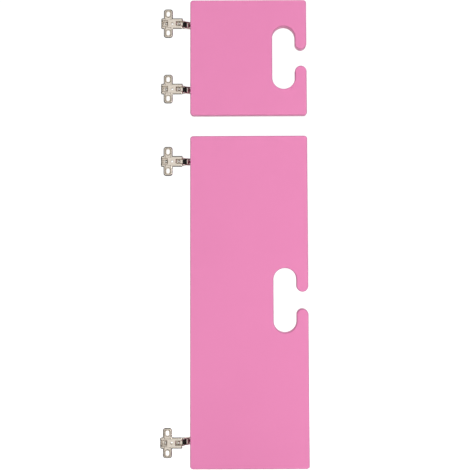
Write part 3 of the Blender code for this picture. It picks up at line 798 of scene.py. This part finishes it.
arm = slab("arm", arm_side(), "z", -ARM_HALF, ARM_HALF, 0.65, 5)
inside = ARM_HALF - ARM_SHEET
channel = [
    (ARM_REAR - 2, ARM_SKIRT - 4),
    (A_X + 5.0, ARM_SKIRT - 4),
    (D_X + 9.0, D_Y - 11.0),
    (D_X + 9.0, D_Y + 7.0),
    (D_X - 5.8, D_Y + 7.0),
    (D_X - 5.8, D_Y - 1.6),
    (A_X - 1.3, A_Y + 3.3),
    (A_X - 2.6, A_Y + 1.6),
    (A_X - 3.0, ARM_TOP - ARM_SHEET),
    (ARM_REAR - 2, ARM_TOP - ARM_SHEET),
]
cut(arm, slab("channel", channel, "z", -inside, inside, 0.5, 4))
cut(arm, slab("key_slot", stadium(FIXING_X, 0, 2.4, 1.5), "y", 7.0, 12.0, 0.02, 1))
for x, r in ((SIGHT_X, 2.0), (SIDE_X, 2.25)):
    sunk = [(0, 7), (r, 7), (r, 9.5), (r + 0.5, 10.2), (r + 0.5, 12), (0, 12)]
    cut(arm, turned("hole", sunk, "y", (x, 0, 0), 36))
for x, y in (PIVOT_A, PIVOT_D):
    cut(arm, turned("rivet_hole", through(RIVET_HOLE_R), "z", (x, y, 0), 28))
for side in (-1, 1):
    groove = turned("bead", [(0, 1.5), (0.75, 2.0), (0.75, 13.0), (0, 13.5)], "z", (0, 0, 0), 16)
    co = points_of(groove.data)[:, [2, 0, 1]] + np.array([0.0, ARM_TOP + 0.45, side * 3.3]) * MM
    groove.data.vertices.foreach_set("co", co.ravel().astype(np.float32))
    outwards(groove.data)
    cut(arm, groove)
fit_to_hinges(arm, "arm", "hinge_mounts", nickel_sheet)
piece = screw("fixing_screw", FIXING_X, ARM_TOP + SEAT_GAP, 0, SCREW_HEAD_R, 7.6, -0.6)
fit_to_hinges(piece, "fixing_screw", "hinge_mounts", zinc_screw)
piece = screw("side_screw", SIDE_X, ARM_TOP + SEAT_GAP, 0, 2.5, 7.7, -0.6)
fit_to_hinges(piece, "side_screw", "hinge_mounts", zinc_screw)

# ======================================================================================
# Links and rivets. The outer link is a nickel-plated goose neck that clears the cup's rim,
# with its foot coloured flat black as painted shade for the shadow inside the arm's channel;
# the inner link is a folded fork. Round-headed rivets join both to the arm.
# ======================================================================================
FOOT_REACH = 5.7
LINK_HALF = 2.4
SHOULDER_HALF = 4.2
FORK_HALF = 4.2
PIN_HOLE_R = 1.15
# Painted shade: a flat black for the link's foot, standing in for the shadow inside the arm's channel.
SHADE_BLACK = (0.016, 0.015, 0.013)
SHADE_BLACK_DEEP = (0.008, 0.008, 0.007)
SHADE_BLACK_CREASE = (0.005, 0.005, 0.004)
black_painted_shade = plated_finish(
    "black_painted_shade",
    SHADE_BLACK,
    SHADE_BLACK_DEEP,
    SHADE_BLACK_CREASE,
    0.5,
    0.00002,
    (2400.0, 700.0, 240.0),
    0.0,
)
black_painted_shade.node_tree.nodes["Principled BSDF"].inputs["Specular IOR Level"].default_value = 0.18


def goose_neck():
    """Outline in x-y of the outer link, from its boss on A over to its boss on B."""
    bx, by = PIVOT_B
    lower = [(5.6, 1.6), (9.6, 5.4), (11.4, 6.8)]
    inner = [(-2.7, 7.9), (-2.1, 7.6), (-1.9, 6.9), (-1.9, 2.0)]
    outer = [(1.7, 4.2), (1.3, 6.2), (0.6, 7.6), (-0.2, 8.7), (-1.1, 9.5), (-2.0, 10.1), (-2.9, 10.4)]
    return np.concatenate(
        [
            turn(A_X, A_Y, 2.2, 100, 300, 20),
            np.array(lower) + PIVOT_A,
            np.array(inner) + (bx, by),
            turn(bx, by, 2.0, 180, 370, 20),
            np.array(outer) + (bx, by),
            [(A_X + 10.6, A_Y + 9.4), (A_X + 8.0, A_Y + 7.7), (A_X + 5.6, A_Y + 5.8)],
        ]
    )


def fork_side():
    """Outline of the inner link along and across the line from rivet D to stud C."""
    length = np.linalg.norm(PIVOT_C - PIVOT_D)
    notch = 1.15
    hook = [(0.3, -2.6), (1.1, -2.45), (1.6, -2.1), (2.1, -1.6), (2.3, -1.2), (2.3, -0.2)]
    mouth = [(notch + 0.1, -0.2), (notch - 0.05, -0.8), (notch - 0.3, -1.25)]
    jaw = [(0.3, -1.65), (-0.9, -1.65), (-1.6, -1.45), (-1.95, -1.1), (-2.15, -0.2)]
    jaw += [(-2.15, 1.4), (-2.7, 2.1), (-3.55, 2.4)]
    tail = [(9.2, 3.2), (0.8, 3.2), (0.0, 2.9)]
    return np.concatenate(
        [
            turn(0, 0, 2.4, 120, 255, 14),
            [(3.2, -1.9), (8.0, -1.9), (length - 2.6, -2.6)],
            np.array(hook + mouth + jaw) + (length, 0),
            tail,
        ]
    )


def on_fork(points):
    """Points along and across the line D to C, put into x-y."""
    run = (PIVOT_C - PIVOT_D) / np.linalg.norm(PIVOT_C - PIVOT_D)
    points = np.array(points, float)
    return PIVOT_D + points[:, :1] * run + points[:, 1:] * np.array([-run[1], run[0]])


def two_finishes(obj, x, near, far):
    """Give a piece one finish up to a plane across x and another beyond it."""
    obj.data.materials.clear()
    for mat in (near, far):
        obj.data.materials.append(mat)
    mesh = bmesh.new()
    mesh.from_mesh(obj.data)
    whole = mesh.verts[:] + mesh.edges[:] + mesh.faces[:]
    bmesh.ops.bisect_plane(mesh, geom=whole, dist=1e-7, plane_co=(x * MM, 0, 0), plane_no=(1, 0, 0))
    for face in mesh.faces:
        face.material_index = int(face.calc_center_median().x > x * MM)
    mesh.to_mesh(obj.data)
    mesh.free()


outer_link = slab("outer_link", goose_neck(), "z", -LINK_HALF, LINK_HALF, 0.45)
bend = np.array([(5.2, 1.6), (7.5, 1.8), (8.1, 2.3), (8.8, 3.5), (8.8, 7.6), (5.6, 5.6)]) + PIVOT_A
shoulder = np.concatenate([turn(A_X, A_Y, 2.19, 100, 300, 20), bend])
cut(outer_link, slab("shoulder", shoulder, "z", -SHOULDER_HALF, SHOULDER_HALF, 0.4), "UNION")
for (x, y), r in ((PIVOT_A, RIVET_HOLE_R), (PIVOT_B, PIN_HOLE_R)):
    cut(outer_link, turned("eye", through(r), "z", (x, y, 0), 28))
# The foot up to FOOT_REACH past rivet A takes the flat black of painted shade; the neck beyond is
# nickel.
two_finishes(outer_link, A_X + FOOT_REACH, black_painted_shade, nickel_sheet)
fit_to_hinges(outer_link, "outer_link", "{stem}_outer_links")

fork = slab("fork", on_fork(fork_side()), "z", -FORK_HALF, FORK_HALF, 0.35)
gap = on_fork([(-6, -6), (26, -6), (26, 8), (9.0, 8), (9.0, 2.1), (-6, 2.1)])
cut(fork, slab("fork_gap", gap, "z", -3.0, 3.0, 0.3))
cut(fork, turned("eye", through(RIVET_HOLE_R), "z", (*PIVOT_D, 0), 28))
fit_to_hinges(fork, "inner_link", "{stem}_inner_links", nickel_sheet)

dome = [(1.25, 6.15), (2.15, 6.15), (2.3, 6.3), (2.15, 6.62)]
dome += [(1.7, 6.85), (1.0, 6.98), (0.5, 7.0), (0.3, 6.85)]
profile = [(0, -6.85)] + [(r, -s) for r, s in reversed(dome)] + dome + [(0, 6.85)]
for pivot, part in ((PIVOT_A, "outer_rivet"), (PIVOT_D, "inner_rivet")):
    piece = turned("rivet", profile, "z", (*pivot, 0), 28)
    fit_to_hinges(piece, part, "hinge_mounts", zinc_screw)

# ======================================================================================
# Floor, light and camera. The doors hang over a pale matt floor in a white room: the walls
# before and behind them give most of the light, three soft boxes add to it, and a broad
# overhead wash keeps the floor pale. The camera looks square on, a little upwards.
# ======================================================================================
FLOOR_DROP = 0.05
FLOOR_HALF = 8
SIDE_LEVEL = 0.03
WALL_LEVEL = 0.95
BACKDROP_LEVEL = 1.05
WASH_POWER = 3.0
CAMERA_AT = (0.135, -1.5, 0.350)
CAMERA_PITCH = 3.81
CAMERA_ROLL = -0.22
CAMERA_SHIFT = (-0.030, -0.1432)
PALE = (0.93, 0.93, 0.93)
PALE_DEEP = (0.91, 0.91, 0.91)
pale = sheet_finish("pale_floor", PALE, PALE_DEEP, 0.8, 0.0001, (300.0, 80.0, 2.0))
mesh = bpy.data.meshes.new("floor")
half, z = FLOOR_HALF, cad_box[0][2] - FLOOR_DROP
corners = [(-half, -half, z), (half, -half, z), (half, half, z), (-half, half, z)]
mesh.from_pydata(corners, [], [(0, 1, 2, 3)])
mesh.materials.append(pale)
floor = bpy.data.objects.new("floor", mesh)
bpy.context.scene.collection.objects.link(floor)
floor.visible_glossy = False

bpy.context.scene.view_settings.view_transform = "Standard"
world = bpy.data.worlds.new("white studio")
world.use_nodes = True
bpy.context.scene.world = world
nodes, links = world.node_tree.nodes, world.node_tree.links
direction = nodes.new("ShaderNodeTexCoord")
parts = nodes.new("ShaderNodeSeparateXYZ")
links.new(direction.outputs["Generated"], parts.inputs["Vector"])
level = nodes.new("ShaderNodeMath")
level.operation = "ABSOLUTE"
links.new(parts.outputs["Y"], level.inputs[0])
fall = nodes.new("ShaderNodeMapRange")
fall.interpolation_type = "SMOOTHSTEP"
fall.inputs["From Min"].default_value = 0.3
fall.inputs["From Max"].default_value = 0.85
fall.inputs["To Min"].default_value = SIDE_LEVEL
fall.inputs["To Max"].default_value = WALL_LEVEL
links.new(level.outputs["Value"], fall.inputs["Value"])
links.new(fall.outputs["Result"], nodes["Background"].inputs["Strength"])
backdrop = nodes.new("ShaderNodeBackground")
backdrop.inputs["Strength"].default_value = BACKDROP_LEVEL
ray = nodes.new("ShaderNodeLightPath")
either = nodes.new("ShaderNodeMixShader")
for source, socket in ((nodes["Background"], 1), (backdrop, 2)):
    source.inputs["Color"].default_value = (1.0, 1.0, 1.0, 1)
    links.new(source.outputs["Background"], either.inputs[socket])
links.new(ray.outputs["Is Camera Ray"], either.inputs["Fac"])
links.new(either.outputs["Shader"], nodes["World Output"].inputs["Surface"])


def soft_box(name, place, target, width, height, power):
    """A rectangular area light turned to face a point."""
    light = bpy.data.lights.new(name, "AREA")
    light.shape = "RECTANGLE"
    light.size = width
    light.size_y = height
    light.energy = power
    lamp = bpy.data.objects.new(name, light)
    bpy.context.scene.collection.objects.link(lamp)
    aim = Vector(np.array(target, float) - np.array(place, float))
    lamp.location = place
    lamp.rotation_mode = "QUATERNION"
    lamp.rotation_quaternion = aim.to_track_quat("-Z", "Y")


soft_box("left_box", (-1.5, -1.4, 1.3), (0.1, 0, 0.4), width=0.7, height=1.2, power=3)
soft_box("low_box", (1.3, -1.2, 0.15), (0.2, 0, 0.0), width=0.9, height=0.6, power=8)
soft_box("rear_box", (1.2, 1.6, 1.4), (0.1, 0, 0.35), width=0.9, height=0.9, power=8)

sun = bpy.data.lights.new("floor_wash", "SUN")
sun.energy = WASH_POWER
sun.angle = math.radians(40)
wash = bpy.data.objects.new("floor_wash", sun)
wash.visible_glossy = False
bpy.context.scene.collection.objects.link(wash)

pitch, roll = math.radians(CAMERA_PITCH), math.radians(CAMERA_ROLL)
forward = np.array([0.0, math.cos(pitch), math.sin(pitch)])
sideways = np.array([1.0, 0.0, 0.0])
upright = np.cross(sideways, forward)
across = math.cos(roll) * sideways + math.sin(roll) * upright
upward = -math.sin(roll) * sideways + math.cos(roll) * upright
lens = bpy.data.cameras.new("camera")
lens.sensor_width = 36.0
lens.lens = 69.2
lens.shift_x, lens.shift_y = CAMERA_SHIFT
camera = bpy.data.objects.new("camera", lens)
camera.matrix_world = Matrix(
    [
        [across[0], upward[0], -forward[0], CAMERA_AT[0]],
        [across[1], upward[1], -forward[1], CAMERA_AT[1]],
        [across[2], upward[2], -forward[2], CAMERA_AT[2]],
        [0, 0, 0, 1],
    ]
)
bpy.context.scene.collection.objects.link(camera)
bpy.context.scene.camera = camera
